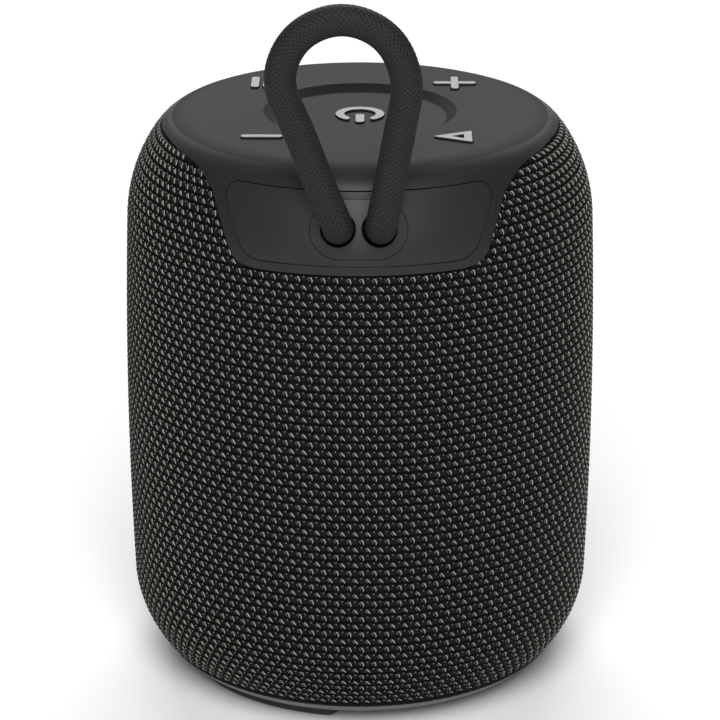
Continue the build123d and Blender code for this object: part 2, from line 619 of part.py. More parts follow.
def build_driver():
    """Full-range driver: fixed frame and magnet, and the cone that moves with its coil."""
    plane = driver_plane()
    seat = DRIVER_SEAT_Y
    save(spin([(DRIVER_HOLE_R, seat), (DRIVER_R, seat), (DRIVER_R, seat + 0.4), (DRIVER_HOLE_R, seat + 0.4)],
              plane) - driver_screw_holes(), "driver_gasket")
    frame = spin([(22.6, seat + 0.4), (DRIVER_R, seat + 0.4), (DRIVER_R, seat + 1.8), (22.0, seat + 1.8),
                  (22.0, seat + 0.2), (13.4, 13.0), (9.0, 13.0), (9.0, 11.8), (14.2, 11.8), (22.6, seat - 1.0)],
                 plane)
    for i in range(6):
        window = plane * Rot(0, 0, 60 * i) * Pos(17.5, 0, 18.5) * Box(9, 9, 6.5)
        frame -= window
    save(frame - driver_screw_holes(), "driver_frame")
    save(group(screw(Plane(origin=(x, seat + 1.8, AXIS_Z + y), x_dir=(1, 0, 0), z_dir=(0, 1, 0)), 3.4)
               for x, y in DRIVER_SCREWS), "driver_screws")
    roll = Curve() + [
        Line((18.4, seat + 0.9), (19.0, seat + 0.9)),
        ThreePointArc((19.0, seat + 0.9), (20.3, seat + 2.2), (21.6, seat + 0.9)),
        Line((21.6, seat + 0.9), (22.0, seat + 0.9)),
        Line((22.0, seat + 0.9), (22.0, seat + 1.3)),
        Line((22.0, seat + 1.3), (21.95, seat + 1.3)),
        ThreePointArc((21.95, seat + 1.3), (20.3, seat + 2.6), (18.65, seat + 1.3)),
        Line((18.65, seat + 1.3), (18.4, seat + 1.3)),
        Line((18.4, seat + 1.3), (18.4, seat + 0.9)),
    ]
    save(plane * revolve(Plane.XZ * make_face(roll), Axis.Z), "driver_surround")
    save(spin([(18.4, seat + 0.4), (18.4, seat + 1.3), (17.9, seat + 1.3), (7.0, 17.4), (6.6, 17.4), (6.6, 16.6),
               (7.2, 16.6)], plane), "driver_cone")
    dome = Pos(0, 0, 20.0 - DUST_CAP_R) * (Sphere(DUST_CAP_R) - Sphere(DUST_CAP_R - 0.4))
    save(plane * (dome & block((-9, 9), (-9, 9), (17.4, 21))), "dust_cap")
    save(spin([(6.3, 7.0), (6.6, 7.0), (6.6, 17.4), (6.3, 17.4)], plane), "voice_coil")
    spider = [(6.6, 13.6), (8.0, 13.6), (8.8, 14.3), (9.8, 13.6), (10.8, 14.3), (11.6, 13.6), (12.4, 13.6),
              (12.4, 13.2), (13.4, 13.0)]
    under = [(r, h - 0.35) for r, h in reversed(spider[:-2])]
    save(spin(spider[:7] + [(12.4, 13.25)] + under[1:], plane), "spider")
    save(spin([(7.2, 10.2), (14.0, 10.2), (14.0, 11.8), (7.2, 11.8)], plane), "front_pole_plate")
    save(spin([(8.2, 5.0), (14.0, 5.0), (14.0, 10.2), (8.2, 10.2)], plane), "magnet_ring")
    save(spin([(0, 2.6), (14.0, 2.6), (14.0, 5.0), (5.8, 5.0), (5.8, 11.8), (0, 11.8)], plane), "yoke")


def driver_screw_holes():
    """Screw shanks' space through the driver's flange and gasket."""
    holes = [rod(Plane(origin=(x, 0, AXIS_Z + y), x_dir=(1, 0, 0), z_dir=(0, 1, 0)), SCREW_R,
                 DRIVER_SEAT_Y - 3, DRIVER_SEAT_Y + 3) for x, y in DRIVER_SCREWS]
    return holes[0] + holes[1] + holes[2] + holes[3]


def build_passives():
    """Two passive radiators: fixed frame and surround, moving diaphragm and weight."""
    seat = PASSIVE_SEAT_X
    for name, side in SIDES.items():
        plane = passive_plane(side)
        save(spin([(17.4, seat), (PASSIVE_R, seat), (PASSIVE_R, seat + 1.4), (17.4, seat + 1.4)], plane),
             f"passive_frame_{name}")
        roll = Curve() + [
            Line((12.6, seat + 0.5), (13.2, seat + 0.5)),
            ThreePointArc((13.2, seat + 0.5), (15.1, seat + 2.4), (17.0, seat + 0.5)),
            Line((17.0, seat + 0.5), (17.4, seat + 0.5)),
            Line((17.4, seat + 0.5), (17.4, seat + 0.9)),
            ThreePointArc((17.4, seat + 0.9), (15.1, seat + 2.8), (12.8, seat + 0.9)),
            Line((12.8, seat + 0.9), (12.6, seat + 0.9)),
            Line((12.6, seat + 0.9), (12.6, seat + 0.5)),
        ]
        save(plane * revolve(Plane.XZ * make_face(roll), Axis.Z), f"passive_surround_{name}")
        save(rod(plane, 12.6, seat + 0.2, seat + 1.2), f"passive_diaphragm_{name}")
        save(rod(plane, 6.0, seat - 2.6, seat + 0.2), f"passive_weight_{name}")


def build_battery():
    """Battery cell, upright behind the driver, and the bracket that holds it to the tub's wall."""
    low = 10.0
    cell = cylinder(BATTERY_R, low, low + BATTERY_L, (0, BATTERY_Y))
    cell += cylinder(3.0, low + BATTERY_L, low + BATTERY_L + 0.8, (0, BATTERY_Y))
    save(fillet(cell.edges().filter_by(GeomType.CIRCLE).sort_by(Axis.Z)[0], 1.0), "battery_cell")
    bracket = cylinder(BATTERY_R + 1.6, 22, 62, (0, BATTERY_Y)) - cylinder(BATTERY_R, 20, 64, (0, BATTERY_Y))
    bracket &= block((-20, 20), (-40, BATTERY_Y), (20, 64))
    bracket += block((-5, 5), (-35.8, -32.6), (26, 58))
    bracket &= cylinder(TUB_R - TUB_WALL, 20, 64)
    save(bracket, "battery_bracket")


build_keys_and_cover()
build_cap()
build_port_cover()
build_sockets()
build_rope()
build_controls()
build_cabinet(build_base())
build_grille()
build_driver()
build_passives()
build_battery()
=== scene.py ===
"""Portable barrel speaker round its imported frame: woven sleeve, soft top, port cover, rope loop.

Lengths are in metres. The barrel stands on z = 0 about the z axis, and its port cover and loop face -Y.
"""

import json
import logging
import math
from dataclasses import dataclass, field
from enum import Enum
from typing import Optional

import bmesh
import bpy
import numpy as np
from mathutils import Euler, Matrix, Vector


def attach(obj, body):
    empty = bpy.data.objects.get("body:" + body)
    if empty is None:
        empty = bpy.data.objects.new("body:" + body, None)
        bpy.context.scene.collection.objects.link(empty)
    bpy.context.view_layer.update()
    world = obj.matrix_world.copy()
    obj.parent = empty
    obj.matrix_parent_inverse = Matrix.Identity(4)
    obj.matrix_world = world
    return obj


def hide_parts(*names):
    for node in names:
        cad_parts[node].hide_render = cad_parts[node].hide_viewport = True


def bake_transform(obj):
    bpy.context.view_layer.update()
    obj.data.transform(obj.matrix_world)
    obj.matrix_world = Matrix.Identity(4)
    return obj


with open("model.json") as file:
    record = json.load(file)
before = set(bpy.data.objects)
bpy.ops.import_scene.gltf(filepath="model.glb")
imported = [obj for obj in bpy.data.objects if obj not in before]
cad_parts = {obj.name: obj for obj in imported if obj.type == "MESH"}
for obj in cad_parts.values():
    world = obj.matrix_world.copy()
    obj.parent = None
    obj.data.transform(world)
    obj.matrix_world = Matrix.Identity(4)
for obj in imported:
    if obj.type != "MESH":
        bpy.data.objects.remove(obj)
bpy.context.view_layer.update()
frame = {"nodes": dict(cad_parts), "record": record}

MM = 0.001
LOG = logging.getLogger("speaker")

CLOTH_TOP_Z = 105.45 * MM   # the cloth's upper edge
SEAM_Z = 106.8   # seam between soft top and hard cap, in millimetres
PLATE_POINT = (-41.2, 97.9)   # middle of the strap plate's face as (y, z), in millimetres
PLATE_LEAN = math.radians(22.0)   # turn of the plate's face upwards
PLATE_NORMAL = Vector((0, -math.cos(PLATE_LEAN), math.sin(PLATE_LEAN)))

Point2 = tuple[float, float]
Colour = tuple[float, float, float]


# ---------------------------------------------------------------- shader maths

class Value:
    """A shader socket that can be used in Python expressions."""

    def __init__(self, book: "NodeBook", socket: bpy.types.NodeSocket) -> None:
        """Keep the socket and the node book that adds its Math nodes."""
        self.book = book
        self.socket = socket

    def _math(self, operation: str, *terms: object) -> "Value":
        """Add a Math node of these terms."""
        node = self.book.node("ShaderNodeMath", {"operation": operation}, dict(enumerate(terms)))
        return Value(self.book, node.outputs[0])

    def __add__(self, other: object) -> "Value":
        """Sum."""
        return self._math("ADD", self, other)

    __radd__ = __add__

    def __mul__(self, other: object) -> "Value":
        """Product."""
        return self._math("MULTIPLY", self, other)

    __rmul__ = __mul__

    def __sub__(self, other: object) -> "Value":
        """Difference."""
        return self._math("SUBTRACT", self, other)

    def __rsub__(self, other: object) -> "Value":
        """Difference the other way round."""
        return self._math("SUBTRACT", other, self)

    def clamp(self) -> "Value":
        """Held between 0 and 1."""
        low = self._math("MAXIMUM", self, 0.0)
        return low._math("MINIMUM", low, 1.0)


class NodeBook:
    """A material's node tree, with one way to add a node."""

    def __init__(self, name: str) -> None:
        """Start a material with an empty node tree and its shader."""
        self.material = bpy.data.materials.new(name)
        self.material.use_nodes = True
        self.tree = self.material.node_tree
        self.tree.nodes.clear()
        self.shader = self.tree.nodes.new("ShaderNodeBsdfPrincipled")
        output = self.tree.nodes.new("ShaderNodeOutputMaterial")
        self.tree.links.new(self.shader.outputs[0], output.inputs["Surface"])

    def node(self, kind: str, settings: Optional[dict] = None,
             inputs: Optional[dict] = None) -> bpy.types.Node:
        """Add a node.

        Args:
            kind: Blender's name of the node's type.
            settings: values of its own properties, set first.
            inputs: socket name or number to a number, colour, vector, Value or socket.

        Returns:
            The new node.
        """
        node = self.tree.nodes.new(kind)
        for key, value in (settings or {}).items():
            setattr(node, key, value)
        for key, value in (inputs or {}).items():
            self.feed(node.inputs[key], value)
        return node

    def feed(self, socket: bpy.types.NodeSocket, value: object) -> None:
        """Give a socket a constant or a link.

        Args:
            socket: the input to set.
            value: a number, colour, vector, Value or output socket.
        """
        if isinstance(value, Value):
            self.tree.links.new(value.socket, socket)
        elif isinstance(value, bpy.types.NodeSocket):
            self.tree.links.new(value, socket)
        else:
            socket.default_value = value

    def place(self) -> bpy.types.NodeSocket:
        """Object coordinates."""
        return self.node("ShaderNodeTexCoord").outputs["Object"]

    def noise(self, size: float, detail: float) -> Value:
        """Noise on object coordinates.

        Args:
            size: grain size in metres.
            detail: how many finer layers it has.

        Returns:
            The noise, from 0 to 1.
        """
        spread = self.node("ShaderNodeMapping", {}, {"Vector": self.place(), "Scale": [1 / size] * 3})
        made = self.node("ShaderNodeTexNoise", {},
                         {"Vector": spread.outputs[0], "Scale": 1.0, "Detail": detail})
        return Value(self, made.outputs[0])

    def attribute(self, name: str) -> Value:
        """A number stored on the mesh."""
        return Value(self, self.node("ShaderNodeAttribute", {"attribute_name": name}).outputs["Fac"])

    def mix(self, factor: object, low: Colour, high: Colour) -> bpy.types.NodeSocket:
        """Blend of two colours.

        Args:
            factor: 0 for the low colour, 1 for the high one.
            low: one colour.
            high: the other colour.

        Returns:
            The colour's socket.
        """
        node = self.node("ShaderNodeMix", {"data_type": "RGBA"})
        self.feed(node.inputs["Factor"], factor)
        self.feed(node.inputs["A"], (*low, 1.0))
        self.feed(node.inputs["B"], (*high, 1.0))
        return node.outputs["Result"]

    def bump(self, height: Value, depth: float) -> None:
        """Relief of a depth in metres on the shader's normal."""
        node = self.node("ShaderNodeBump", {}, {"Strength": 1.0, "Distance": depth, "Height": height})
        self.feed(self.shader.inputs["Normal"], node.outputs[0])


def scaled(colour: Colour, k: float) -> Colour:
    """A colour made lighter or darker."""
    return (colour[0] * k, colour[1] * k, colour[2] * k)


@dataclass(frozen=True)
class Moulded:
    """A moulded plastic, rubber or metal surface with a fine spark-eroded grain."""

    name: str
    colour: Colour
    roughness: float
    grain: float = 0.25 * MM
    depth: float = 0.01 * MM
    mottle: float = 0.06
    metallic: float = 0.0
    specular: float = 0.5
    cloud: float = 14 * MM
    cloud_shine: float = 0.08
    grain_shine: float = 0.06

    def coat(self, book: NodeBook) -> None:
        """Set the colour, a little uneven."""
        tone = book.noise(self.grain, 3.0) * 0.5 + book.noise(self.cloud, 2.0) * 0.5
        low, high = scaled(self.colour, 1 - self.mottle), scaled(self.colour, 1 + self.mottle)
        book.feed(book.shader.inputs["Base Color"], book.mix(tone.clamp(), low, high))

    def material(self) -> bpy.types.Material:
        """Make the material."""
        book = NodeBook(self.name)
        fine = book.noise(self.grain, 3.0)
        wide = book.noise(self.cloud, 2.0)
        self.coat(book)
        uneven = (wide - 0.5) * self.cloud_shine + (fine - 0.5) * self.grain_shine
        book.feed(book.shader.inputs["Roughness"], uneven + self.roughness)
        book.shader.inputs["Metallic"].default_value = self.metallic
        book.shader.inputs["Specular IOR Level"].default_value = self.specular
        book.bump(fine, self.depth)
        return book.material


@dataclass(frozen=True)
class PrintedFaceShadedSides(Moulded):
    """Moulded key whose raised face is printed light, over sides and pockets darkened with painted
    shade.
    """

    face: float = 0.0
    skin: float = 0.07 * MM
    edge: float = 4.0
    # body: the painted shade on the sides and pockets, as a share of the key's colour
    body: float = 0.08

    def coat(self, book: NodeBook) -> None:
        """Mix painted shade onto the sides and pockets below the printed face."""
        height = Value(book, book.node("ShaderNodeSeparateXYZ", {}, {0: book.place()}).outputs["Z"])
        printed = ((height - (self.face - self.skin)) * (self.edge / self.skin)).clamp()
        grain = book.noise(self.grain, 2.0) * (2 * self.mottle) + (1.0 - self.mottle)
        # Painted shade: below the printed face, the sides and pockets take a darkened copy of the key's
        # colour.
        dark = scaled(self.colour, self.body)
        book.feed(book.shader.inputs["Base Color"], book.mix(printed * grain, dark, self.colour))


@dataclass(frozen=True)
class Yarn:
    """Spun yarn as light as the mesh's own tone: painted shade at 0 in the grooves, painted light at 1
    on the crowns.
    """

    name: str
    dark: Colour
    light: Colour
    roughness: float
    fibre: float = 0.12 * MM
    depth: float = 0.03 * MM
    fleck: float = 0.3
    specular: float = 0.12
    shine: float = 0.1

    def material(self) -> bpy.types.Material:
        """Make the material."""
        book = NodeBook(self.name)
        fibres = book.noise(self.fibre, 3.0)
        tone = book.attribute("tone")
        lit = tone * ((fibres - 0.5) * (2 * self.fleck) + 1.0)
        book.feed(book.shader.inputs["Base Color"], book.mix(lit.clamp(), self.dark, self.light))
        book.feed(book.shader.inputs["Roughness"], (fibres - 0.5) * self.shine + self.roughness)
        book.shader.inputs["Specular IOR Level"].default_value = self.specular
        book.bump(fibres, self.depth)
        return book.material


class Finish(Enum):
    """Every finish on the speaker."""

    SOFT_COVER = Moulded("soft_cover", (0.0155, 0.0155, 0.0155), 0.54, 0.18 * MM, 0.006 * MM,
                         specular=0.04)
    RIM_KEY = PrintedFaceShadedSides("rim_key", (0.165, 0.165, 0.165), 0.45, 0.2 * MM, 0.004 * MM, 0.04,
                      face=107.73 * MM)
    DISH_KEY = PrintedFaceShadedSides("dish_key", (0.165, 0.165, 0.165), 0.45, 0.2 * MM, 0.004 * MM, 0.04,
                       face=106.53 * MM)
    CAP = Moulded("cap_plastic", (0.015, 0.015, 0.0153), 0.44, 0.16 * MM, 0.005 * MM, specular=0.35)
    PORT_RUBBER = Moulded("port_rubber", (0.0175, 0.0175, 0.0178), 0.45, 0.2 * MM, 0.004 * MM,
                          specular=0.35)
    BASE = Moulded("base_plastic", (0.13, 0.13, 0.13), 0.48, 0.2 * MM, 0.006 * MM)
    FOOT = Moulded("foot_rubber", (0.018, 0.018, 0.018), 0.7, 0.3 * MM, 0.01 * MM)
    INNER = Moulded("inner_plastic", (0.012, 0.012, 0.012), 0.5)
    STEEL = Moulded("plated_steel", (0.55, 0.55, 0.56), 0.32, 0.4 * MM, 0.003 * MM, 0.05, 1.0)
    MAGNET = Moulded("ferrite", (0.03, 0.03, 0.032), 0.6)
    CONE = Moulded("cone", (0.025, 0.025, 0.026), 0.7, 0.5 * MM, 0.02 * MM)
    SURROUND = Moulded("surround_rubber", (0.015, 0.015, 0.015), 0.55)
    COIL = Moulded("copper_coil", (0.5, 0.2, 0.08), 0.35, 0.2 * MM, 0.02 * MM, 0.1, 1.0)
    SPIDER = Moulded("spider_cloth", (0.32, 0.2, 0.07), 0.85, 0.4 * MM, 0.05 * MM, 0.2)
    BOARD = Moulded("board", (0.008, 0.06, 0.03), 0.35, 2 * MM, 0.002 * MM, 0.15)
    CHIP = Moulded("chip", (0.014, 0.014, 0.015), 0.5)
    BATTERY = Moulded("battery_wrap", (0.02, 0.09, 0.25), 0.3, 3 * MM, 0.002 * MM, 0.05)
    GROUND_YARN = Yarn("ground_yarn", (0.0004, 0.0004, 0.0004), (0.011, 0.011, 0.0105), 0.85)
    STITCH_YARN = Yarn("stitch_yarn", (0.006, 0.006, 0.0055), (0.42, 0.42, 0.375), 0.6,
                       0.1 * MM, 0.02 * MM, 0.25)
    ROPE_YARN = Yarn("rope_yarn", (0.005, 0.005, 0.005), (0.029, 0.029, 0.029), 0.62,
                     0.14 * MM, 0.03 * MM, 0.3)


_MADE: dict[Finish, bpy.types.Material] = {}


def paint(piece: bpy.types.Object, finish: Finish) -> None:
    """Give a piece one finish all over.

    Args:
        piece: the piece to paint.
        finish: its finish, made once and shared.
    """
    if finish not in _MADE:
        _MADE[finish] = finish.value.material()
    piece.data.materials.clear()
    piece.data.materials.append(_MADE[finish])


# ---------------------------------------------------------------- mesh helpers

def new_piece(name: str, bm: bmesh.types.BMesh, smooth: bool = True) -> bpy.types.Object:
    """Turn a bmesh into a piece in the scene.

    Args:
        name: the piece's name.
        bm: its shape, which is freed.
        smooth: whether faces shade smoothly.

    Returns:
        The new object.
    """
    mesh = bpy.data.meshes.new(name)
    bm.to_mesh(mesh)
    bm.free()
    mesh.polygons.foreach_set("use_smooth", [smooth] * len(mesh.polygons))
    piece = bpy.data.objects.new(name, mesh)
    bpy.context.scene.collection.objects.link(piece)
    return piece


def evaluated_mesh(thing: bpy.types.Object) -> bpy.types.Mesh:
    """Mesh of an object with its modifiers, or of a curve's line."""
    graph = bpy.context.evaluated_depsgraph_get()
    return bpy.data.meshes.new_from_object(thing.evaluated_get(graph))


def settle(piece: bpy.types.Object) -> None:
    """Write a piece's modifiers into its mesh."""
    mesh = evaluated_mesh(piece)
    piece.modifiers.clear()
    piece.data = mesh


def spin(bm: bmesh.types.BMesh, geom: list, angle: float, steps: int, copies: bool) -> None:
    """Turn shapes round the barrel's axis.

    Args:
        bm: the mesh that holds them.
        geom: what is turned.
        angle: the whole turn, in radians.
        steps: how many times it is repeated.
        copies: whether it makes separate copies, not a joined skin.
    """
    bmesh.ops.spin(bm, geom=geom, cent=(0, 0, 0), axis=(0, 0, 1), dvec=(0, 0, 0), angle=angle,
                   steps=steps, use_merge=not copies, use_duplicate=copies)


def finish_piece(piece: bpy.types.Object, finish: Finish, slot: str, *nodes: str) -> None:
    """Paint a piece, hide the CAD nodes that it replaces and log its face count.

    Args:
        piece: the finished piece.
        finish: its finish.
        slot: the record's material slot; not used.
        nodes: the CAD nodes that it replaces.
    """
    paint(piece, finish)
    if nodes:
        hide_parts(*nodes)
    LOG.info("%s: %d faces", piece.name, len(piece.data.polygons))


# ---------------------------------------------------------------- the barrel's outline

@dataclass(frozen=True)
class Outline:
    """The barrel's side, from the cloth's lower edge up to the top seam.

    Args:
        arcs: start, middle and end of each arc as (radius, height), in millimetres.
        steps: points along each arc.
    """

    arcs: tuple = (
        ((37.7, 4.0), (41.45, 9.8), (43.33, 16.5)),
        ((43.33, 16.5), (44.0, 52.8), (43.24, 88.9)),
        ((43.24, 88.9), (41.54, 97.12), (38.35, 103.32)),
        ((38.35, 103.32), (36.55, 105.37), (34.6, 106.7)),
    )
    steps: int = 160

    def line(self) -> np.ndarray:
        """Points along the side, as rows of radius, height, in metres."""
        points = []
        for a, b, c in self.arcs:
            centre = self._centre(a, b, c)
            radius = math.dist(a, centre)
            start = math.atan2(a[1] - centre[1], a[0] - centre[0])
            sweep = math.atan2(c[1] - centre[1], c[0] - centre[0]) - start
            for i in range(self.steps):
                turn = start + sweep * i / self.steps
                points.append((centre[0] + radius * math.cos(turn),
                               centre[1] + radius * math.sin(turn)))
        points.append(self.arcs[-1][2])
        return np.array(points) * MM

    @staticmethod
    def _centre(a: Point2, b: Point2, c: Point2) -> Point2:
        """Centre of the circle through three points."""
        d = 2 * (a[0] * (b[1] - c[1]) + b[0] * (c[1] - a[1]) + c[0] * (a[1] - b[1]))
        a2, b2, c2 = (p[0] ** 2 + p[1] ** 2 for p in (a, b, c))
        x = (a2 * (b[1] - c[1]) + b2 * (c[1] - a[1]) + c2 * (a[1] - b[1])) / d
        y = (a2 * (c[0] - b[0]) + b2 * (a[0] - c[0]) + c2 * (b[0] - a[0])) / d
        return x, y


class Side:
    """The barrel's side by length along it, measured down from the cloth's upper edge."""

    def __init__(self, outline: Outline, top_z: float) -> None:
        """Measure the outline below a height."""
        line = outline.line()[::-1]
        reach = np.r_[0, np.cumsum(np.hypot(*np.diff(line, axis=0).T))]
        zero = np.interp(-top_z, -line[:, 1], reach)
        self.reach, self.radii, self.heights = reach - zero, line[:, 0], line[:, 1]
        tangent = np.gradient(line, axis=0)
        tangent /= np.hypot(*tangent.T)[:, None]
        self.slopes = tangent
        self.length = float(self.reach[-1])

    def place(self, downs: np.ndarray, angles: np.ndarray, lifts: np.ndarray) -> np.ndarray:
        """Points on or off the side.

        Args:
            downs: lengths down the side.
            angles: turns from -Y towards +X, in radians.
            lifts: heights off the side.

        Returns:
            One row of x, y, z for each.
        """
        slope_r = np.interp(downs, self.reach, self.slopes[:, 0])
        slope_z = np.interp(downs, self.reach, self.slopes[:, 1])
        size = np.hypot(slope_r, slope_z)
        r = np.interp(downs, self.reach, self.radii) - slope_z / size * lifts
        z = np.interp(downs, self.reach, self.heights) + slope_r / size * lifts
        return np.column_stack((r * np.sin(angles), -r * np.cos(angles), z))

    def at(self, down: float, angle: float, lift: float = 0.0) -> Vector:
        """One such point."""
        return Vector(self.place(np.array([down]), np.array([angle]), np.array([lift]))[0])

    def radius(self, down: float) -> float:
        """Radius at a length down the side."""
        return float(np.interp(down, self.reach, self.radii))


# ---------------------------------------------------------------- woven sleeve

@dataclass(frozen=True)
class Strand:
    """One visible strand of a stitch, in millimetres from the stitch's middle.

    Args:
        across: middle of the strand, to the right.
        up: middle of the strand, upwards.
        length: from end to end.
        width: across its middle.
        slant: turn from level, in degrees.
        bow: how far it bulges up and to the right.
        tone: lightness, from 0 to 1.
        rings: faces along it.
    """

    across: float
    up: float
    length: float
    width: float
    slant: float
    bow: float
    tone: float
    rings: int = 4


@dataclass
class Sleeve:
    """Two-tone cloth: dark ground rows with grooves between, and light slanted stitches in them.

    Args:
        side: the barrel's side.
        around: stitches in one row.
        row_pitch: length down the side from row to row, before it is evened out.
        row_phase: how far the first row starts below the upper edge.
        turn_phase: angle of the first stitch, in radians.
        columns_per_stitch: ground faces across one stitch.
        lines_per_row: ground faces down one row.
        ground_lift: height of the ground's crowns over the barrel's side.
        groove: depth between two rows.
        nub: depth between two yarns of one row.
        lean: how far the yarns slant across a row, in radians of one stitch's turn.
        ripple: share of the nub that the yarn's own plies take.
        stitch_lift: height of a stitch's middle line over the barrel's side.
        stitch_height: half thickness of a stitch.
        end_dip: how far a stitch's ends sink.
        bands: pieces that the cloth is divided into.
        ground_margin: how far the ground goes on under the apron's edge.
        stitch_margin: how far the stitches stop before the apron's edge.
        even_stitch: strands of a stitch in the even rows, where the first row is even.
        odd_stitch: strands of a stitch in the odd rows.
        ground_tones: the ground's painted shade: its lightness on the row crowns, how much it darkens
            where yarns dip, and how much it lightens where plies rise.
        apron_x: half widths of the bare apron, in millimetres.
        apron_z: heights of the apron's lower edge at those half widths, in millimetres.
    """

    side: Side
    around: int = 120
    row_pitch: float = 1.53 * MM
    row_phase: float = 0.42 * MM
    turn_phase: float = -0.0155
    columns_per_stitch: int = 6
    lines_per_row: int = 4
    ground_lift: float = -0.05 * MM
    groove: float = 0.6 * MM
    nub: float = 0.17 * MM
    lean: float = 1.2
    ripple: float = 0.35
    stitch_lift: float = -0.215 * MM
    stitch_height: float = 0.13 * MM
    end_dip: float = 0.07 * MM
    bands: int = 4
    ground_margin: float = 1.0 * MM
    stitch_margin: float = 0.25 * MM
    even_stitch: tuple = (
        Strand(0.20, -0.02, 1.22, 0.25, -52.0, 0.04, 1.0, 5),
        Strand(-0.24, -0.06, 0.86, 0.20, -54.0, 0.06, 0.36),
        Strand(-0.10, 0.30, 0.40, 0.16, 30.0, 0.0, 0.42, 3),
        Strand(1.15, 0.42, 0.34, 0.32, 0.0, 0.0, 0.50, 3),
    )
    odd_stitch: tuple = (
        Strand(0.24, -0.06, 1.20, 0.24, -66.0, 0.30, 1.0, 7),
        Strand(-0.24, 0.0, 0.86, 0.20, -56.0, 0.08, 0.34),
        Strand(0.30, 0.34, 0.36, 0.17, 42.0, 0.0, 0.60, 3),
        Strand(1.15, 0.42, 0.34, 0.32, 0.0, 0.0, 0.50, 3),
    )
    ground_tones: tuple = (0.52, 0.38, 0.22)
    apron_x: tuple = (0, 18.2, 20.2, 21.6, 22.6, 25.7, 27.3, 30.0, 34.5, 36.0)
    apron_z: tuple = (90.05, 90.05, 90.5, 91.4, 92.9, 101.4, 103.4, 104.7, 105.45, 105.45)

    def __post_init__(self) -> None:
        """Count the rows."""
        self.rows = round(self.side.length / self.row_pitch)
        self.pitch = self.side.length / self.rows
        self.turn = 2 * math.pi / self.around

    def under_apron(self, points: np.ndarray, margin: float) -> np.ndarray:
        """Find the points that lie inside the bare apron.

        Args:
            points: rows of x, y, z.
            margin: how far over the apron's lower edge they have to be.

        Returns:
            One truth value for each.
        """
        low = np.interp(np.abs(points[:, 0]) / MM, self.apron_x, self.apron_z) * MM
        return (points[:, 1] < 0) & (points[:, 2] > low + margin)

    def relief(self, downs: np.ndarray, angles: np.ndarray) -> tuple[np.ndarray, np.ndarray]:
        """Shape the ground cloth.

        Args:
            downs: lengths down the side.
            angles: turns round the barrel.

        Returns:
            Heights off the side, and tones that paint shade into the grooves and where yarns dip, and
            light where plies rise.
        """
        row = (downs - self.row_phase) / self.pitch
        crown = np.abs(np.sin(np.pi * row)) ** 0.5
        shift = np.where(np.floor(row) % 2 == 1, 0.5, 0.0)
        column = 2 * np.pi * ((angles - self.turn_phase) / self.turn + shift)
        slanted = column + self.lean * np.cos(np.pi * (row % 1.0))
        yarn, ply = np.cos(slanted), np.cos(3 * slanted)
        lift = self.ground_lift - self.groove * (1 - crown)
        lift -= self.nub * crown * (0.5 + 0.5 * yarn) - self.ripple * self.nub * crown * ply
        # Painted shade: the tone falls to nothing in the grooves between rows, darkens where a yarn
        # dips and lightens where a ply rises.
        base, yarn_tone, ply_tone = self.ground_tones
        return lift, crown ** 2 * (base - yarn_tone * yarn + ply_tone * ply)

    def ground(self, band: int) -> bpy.types.Object:
        """Make the dark cloth of one band, spun from one line of points.

        Args:
            band: the band's number, counted from the top.

        Returns:
            The piece, with its painted shade stored on its points as its tone.
        """
        lines = self.rows * self.lines_per_row
        first, last = band * lines // self.bands, (band + 1) * lines // self.bands
        downs = [i * self.side.length / lines for i in range(first, last + 1)]
        bm = bmesh.new()
        verts = [bm.verts.new(self.side.at(d, 0.0)) for d in downs]
        edges = [bm.edges.new(pair) for pair in zip(verts, verts[1:])]
        spin(bm, verts + edges, 2 * math.pi, self.around * self.columns_per_stitch, copies=False)
        middles = np.array([f.calc_center_median() for f in bm.faces])
        inside = self.under_apron(middles, self.ground_margin)
        hidden = [f for f, cut in zip(bm.faces[:], inside) if cut]
        bmesh.ops.delete(bm, geom=hidden, context="FACES")
        bmesh.ops.recalc_face_normals(bm, faces=bm.faces)
        if sum(f.normal.dot(f.calc_center_median()) for f in bm.faces) < 0:
            bmesh.ops.reverse_faces(bm, faces=bm.faces)
        piece = new_piece(f"sleeve_ground_{band + 1}", bm)
        flat = np.array([v.co for v in piece.data.vertices])
        downs = np.interp(-flat[:, 2], -self.side.heights, self.side.reach)
        angles = np.arctan2(flat[:, 0], -flat[:, 1])
        lifts, tones = self.relief(downs, angles)
        piece.data.vertices.foreach_set("co", self.side.place(downs, angles, lifts).ravel())
        tone = piece.data.attributes.new("tone", "FLOAT", "POINT")
        tone.data.foreach_set("value", tones)
        return piece

    def lay(self, bm: bmesh.types.BMesh, strand: Strand, down: float,
            angle: float) -> list[bmesh.types.BMVert]:
        """Add one strand, bent along its path and pressed into the cloth.

        Args:
            bm: the stitches so far.
            strand: its shape.
            down: the stitch's length down the side.
            angle: the stitch's angle round the barrel.

        Returns:
            The strand's vertices.
        """
        made = bmesh.ops.create_uvsphere(bm, u_segments=4, v_segments=strand.rings, radius=1.0)["verts"]
        ways = np.array([v.co for v in made])
        along = ways[:, 2] * strand.length / 2
        beside = ways[:, 0] * strand.width / 2 + strand.bow * (0.5 - ways[:, 2] ** 2)
        slant = math.radians(strand.slant)
        right = strand.across + along * math.cos(slant) - beside * math.sin(slant)
        up = strand.up + along * math.sin(slant) + beside * math.cos(slant)
        lifts = self.stitch_lift + ways[:, 1] * self.stitch_height - self.end_dip * ways[:, 2] ** 2
        turns = angle + right * MM / self.side.radius(down)
        for vert, place in zip(made, self.side.place(down - up * MM, turns, lifts)):
            vert.co = place
        return made

